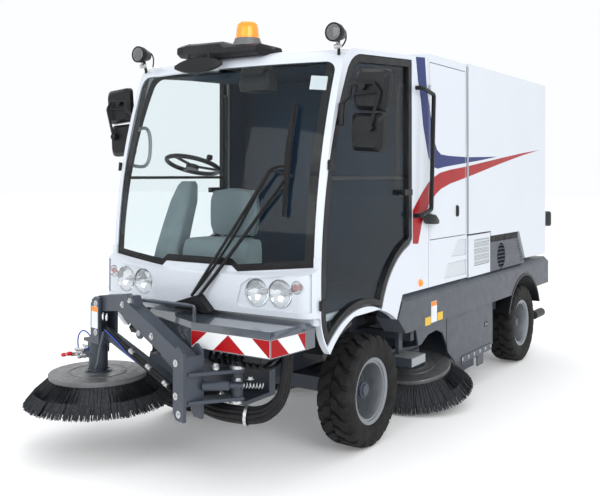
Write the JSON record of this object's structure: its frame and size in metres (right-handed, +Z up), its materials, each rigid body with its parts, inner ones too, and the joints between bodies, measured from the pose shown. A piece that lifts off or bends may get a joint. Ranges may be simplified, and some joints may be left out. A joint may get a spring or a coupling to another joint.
{
  "type": "street sweeper truck",
  "caption": "Compact street sweeper truck with a glazed cab, tipping rear hopper, side brushes, a main broom and a third brush on a front arm.",
  "frame": {"origin": "on the road, under the middle of the front axle", "axes": "+X forward, +Y to the vehicle's left, +Z up"},
  "size_m": [5.276, 2.4036, 2.8114],
  "materials": {
    "white_paint": "gloss white enamel",
    "grey_paint": "satin dark blue-grey enamel",
    "tyre_rubber": "matt black rubber",
    "rim_steel": "silver-grey enamel",
    "black_plastic": "matt black",
    "tinted_glass": "clear, faint blue-green tint",
    "lamp_glass": "clear lens over a bright bowl",
    "amber_lens": "clear amber",
    "seat_cloth": "dark grey woven cloth",
    "cast_iron": "dull",
    "bright_rod": "polished",
    "brush_fibre": "stiff black fibre"
  },
  "bodies": {
    "chassis": {"arm_base": "grey_paint", "axles": "grey_paint", "beacon": "amber_lens", "broom_housing": "grey_paint", "cab_shell": "white_paint", "cross_members": "grey_paint", "dashboard": "black_plastic", "driver_seat": "seat_cloth", "engine_bay": "white_paint", "engine_block": "cast_iron", "fan_housing": "grey_paint", "frame_brackets": "grey_paint", "frame_rails": "grey_paint", "front_bumper": "grey_paint", "front_panel": "white_paint", "grab_handles": "black_plastic", "headlamps": "lamp_glass", "intake_housing": "white_paint", "jack_pads": "grey_paint", "lower_skirts": "grey_paint", "mudguards": "black_plastic", "roof_housing": "black_plastic", "side_rails": "grey_paint", "side_steps": "grey_paint", "windscreen": "tinted_glass", "wiper": "black_plastic", "work_lamps": "black_plastic"},
    "knuckle_left": {"knuckle_left": "grey_paint"},
    "knuckle_right": {"knuckle_right": "grey_paint"},
    "wheel_front_left": {"tyre_front_left": "tyre_rubber", "rim_front_left": "rim_steel"},
    "wheel_front_right": {"tyre_front_right": "tyre_rubber", "rim_front_right": "rim_steel"},
    "wheel_rear_left": {"tyre_rear_left": "tyre_rubber", "rim_rear_left": "rim_steel"},
    "wheel_rear_right": {"tyre_rear_right": "tyre_rubber", "rim_rear_right": "rim_steel"},
    "steering_wheel": {"steering_wheel": "black_plastic"},
    "door_left": {"door_left": "black_plastic", "door_glass_left": "tinted_glass"},
    "door_right": {"door_right": "black_plastic", "door_glass_right": "tinted_glass"},
    "engine_door_left": {"engine_door_left": "white_paint"},
    "engine_door_right": {"engine_door_right": "white_paint"},
    "side_arm_left": {"side_arm_left": "grey_paint"},
    "side_arm_right": {"side_arm_right": "grey_paint"},
    "side_brush_left": {"side_brush_left": "brush_fibre"},
    "side_brush_right": {"side_brush_right": "brush_fibre"},
    "arm_bracket": {"arm_bracket": "grey_paint"},
    "arm_beam": {"arm_beam": "grey_paint"},
    "arm_cylinder": {"arm_cylinder": "grey_paint"},
    "arm_cylinder_rod": {"arm_cylinder_rod": "bright_rod"},
    "arm_link": {"arm_link": "grey_paint"},
    "arm_head": {"arm_head": "grey_paint"},
    "front_brush": {"front_brush": "brush_fibre"},
    "main_broom": {"main_broom": "brush_fibre"},
    "hopper": {"hopper_shell": "white_paint"},
    "hopper_door": {"hopper_door": "white_paint"},
    "lift_barrels": {"lift_barrels": "grey_paint"},
    "lift_rods": {"lift_rods": "bright_rod"}
  },
  "joints": [
    {"name": "steer_left", "type": "hinge", "parent": "chassis", "child": "knuckle_left", "pos_m": [0, 0.6, 0.3675], "axis": [0, 0, 1], "range_deg": [-30, 30]},
    {"name": "steer_right", "type": "hinge", "parent": "chassis", "child": "knuckle_right", "pos_m": [0, -0.6, 0.3675], "axis": [0, 0, 1], "range_deg": [-30, 30]},
    {"name": "steering_wheel_turn", "type": "hinge", "parent": "chassis", "child": "steering_wheel", "pos_m": [0.347, -0.42, 1.863], "axis": [-0.3319, 0, 0.9433], "range_deg": [-480, 480]},
    {"name": "roll_front_left", "type": "hinge", "parent": "knuckle_left", "child": "wheel_front_left", "pos_m": [0, 0.738, 0.3675], "axis": [0, 1, 0], "continuous": true},
    {"name": "roll_front_right", "type": "hinge", "parent": "knuckle_right", "child": "wheel_front_right", "pos_m": [0, -0.738, 0.3675], "axis": [0, 1, 0], "continuous": true},
    {"name": "roll_rear_left", "type": "hinge", "parent": "chassis", "child": "wheel_rear_left", "pos_m": [-2.98, 0.738, 0.3675], "axis": [0, 1, 0], "continuous": true},
    {"name": "roll_rear_right", "type": "hinge", "parent": "chassis", "child": "wheel_rear_right", "pos_m": [-2.98, -0.738, 0.3675], "axis": [0, 1, 0], "continuous": true},
    {"name": "open_door_left", "type": "hinge", "parent": "chassis", "child": "door_left", "pos_m": [0.696, 0.884, 1.023], "axis": [0.1078, 0, -0.9942], "range_deg": [0, 75]},
    {"name": "open_door_right", "type": "hinge", "parent": "chassis", "child": "door_right", "pos_m": [0.696, -0.884, 1.023], "axis": [-0.1078, 0, 0.9942], "range_deg": [0, 75]},
    {"name": "open_engine_door_left", "type": "hinge", "parent": "chassis", "child": "engine_door_left", "pos_m": [-0.828, 0.884, 1.97], "axis": [0, 0, -1], "range_deg": [0, 80]},
    {"name": "open_engine_door_right", "type": "hinge", "parent": "chassis", "child": "engine_door_right", "pos_m": [-0.828, -0.884, 1.97], "axis": [0, 0, 1], "range_deg": [0, 80]},
    {"name": "tuck_brush_left", "type": "hinge", "parent": "chassis", "child": "side_arm_left", "pos_m": [-0.6, 0.43, 0.452], "axis": [0, 0, 1], "range_deg": [0, 12]},
    {"name": "tuck_brush_right", "type": "hinge", "parent": "chassis", "child": "side_arm_right", "pos_m": [-0.6, -0.43, 0.452], "axis": [0, 0, -1], "range_deg": [0, 12]},
    {"name": "spin_brush_left", "type": "hinge", "parent": "side_arm_left", "child": "side_brush_left", "pos_m": [-1.08, 0.623, 0.303], "axis": [0.2419, 0, 0.9703], "continuous": true},
    {"name": "spin_brush_right", "type": "hinge", "parent": "side_arm_right", "child": "side_brush_right", "pos_m": [-1.08, -0.623, 0.303], "axis": [0.2419, 0, 0.9703], "continuous": true},
    {"name": "swing_arm", "type": "hinge", "parent": "chassis", "child": "arm_bracket", "pos_m": [1.05, 0.538, 0.6], "axis": [0, 0, 1], "range_deg": [0, 75]},
    {"name": "lift_arm", "type": "hinge", "parent": "arm_bracket", "child": "arm_beam", "pos_m": [1.25, 0.328, 0.735], "axis": [-0.9697, 0.2441, 0], "range_deg": [-17, 0]},
    {"name": "link_turn", "type": "hinge", "parent": "arm_bracket", "child": "arm_link", "pos_m": [1.25, 0.328, 0.55], "axis": [-0.9697, 0.2441, 0], "range_deg": [-17, 0]},
    {"name": "head_level", "type": "hinge", "parent": "arm_beam", "child": "arm_head", "pos_m": [1.02297, -0.57386, 0.96], "axis": [-0.9697, 0.2441, 0], "range_deg": [0, 17]},
    {"name": "turn_arm_cylinder", "type": "hinge", "parent": "arm_bracket", "child": "arm_cylinder", "pos_m": [1.25, 0.328, 0.64], "axis": [-0.9697, 0.2441, 0], "range_deg": [-17, 0]},
    {"name": "extend_arm_cylinder", "type": "slide", "parent": "arm_cylinder", "child": "arm_cylinder_rod", "axis": [-0.223, -0.8857, 0.4071], "range_m": [-0.03, 0]},
    {"name": "spin_front_brush", "type": "hinge", "parent": "arm_head", "child": "front_brush", "pos_m": [0.99904, -0.6689, 0.497], "axis": [0, 0, 1], "continuous": true},
    {"name": "spin_main_broom", "type": "hinge", "parent": "chassis", "child": "main_broom", "pos_m": [-2.05, 0, 0.236], "axis": [0, 1, 0], "continuous": true},
    {"name": "tip_hopper", "type": "hinge", "parent": "chassis", "child": "hopper", "pos_m": [-3.66, 0, 0.96], "axis": [0, -1, 0], "range_deg": [0, 45]},
    {"name": "open_hopper_door", "type": "hinge", "parent": "hopper", "child": "hopper_door", "pos_m": [-3.69, 0, 2.69], "axis": [0, 1, 0], "range_deg": [0, 80]},
    {"name": "turn_lift_barrels", "type": "hinge", "parent": "chassis", "child": "lift_barrels", "pos_m": [-1.85, 0, 0.67], "axis": [0, -1, 0], "range_deg": [-12, 2]},
    {"name": "extend_lift_rods", "type": "slide", "parent": "lift_barrels", "child": "lift_rods", "axis": [-0.9853, 0, 0.1708], "range_m": [0, 0.11]}
  ],
  "couplings": [
    {"joint": "steer_right", "follows": "steer_left", "ratio": 1},
    {"joint": "steering_wheel_turn", "follows": "steer_left", "ratio": 16},
    {"joint": "link_turn", "follows": "lift_arm", "ratio": 1},
    {"joint": "head_level", "follows": "lift_arm", "ratio": -1},
    {"joint": "turn_arm_cylinder", "follows": "lift_arm", "ratio": 0.938},
    {"joint": "extend_arm_cylinder", "follows": "lift_arm", "m_per_rad": 0.091},
    {"joint": "turn_lift_barrels", "follows": "tip_hopper", "ratio": -0.16941},
    {"joint": "extend_lift_rods", "follows": "tip_hopper", "m_per_rad": 0.12983}
  ]
}
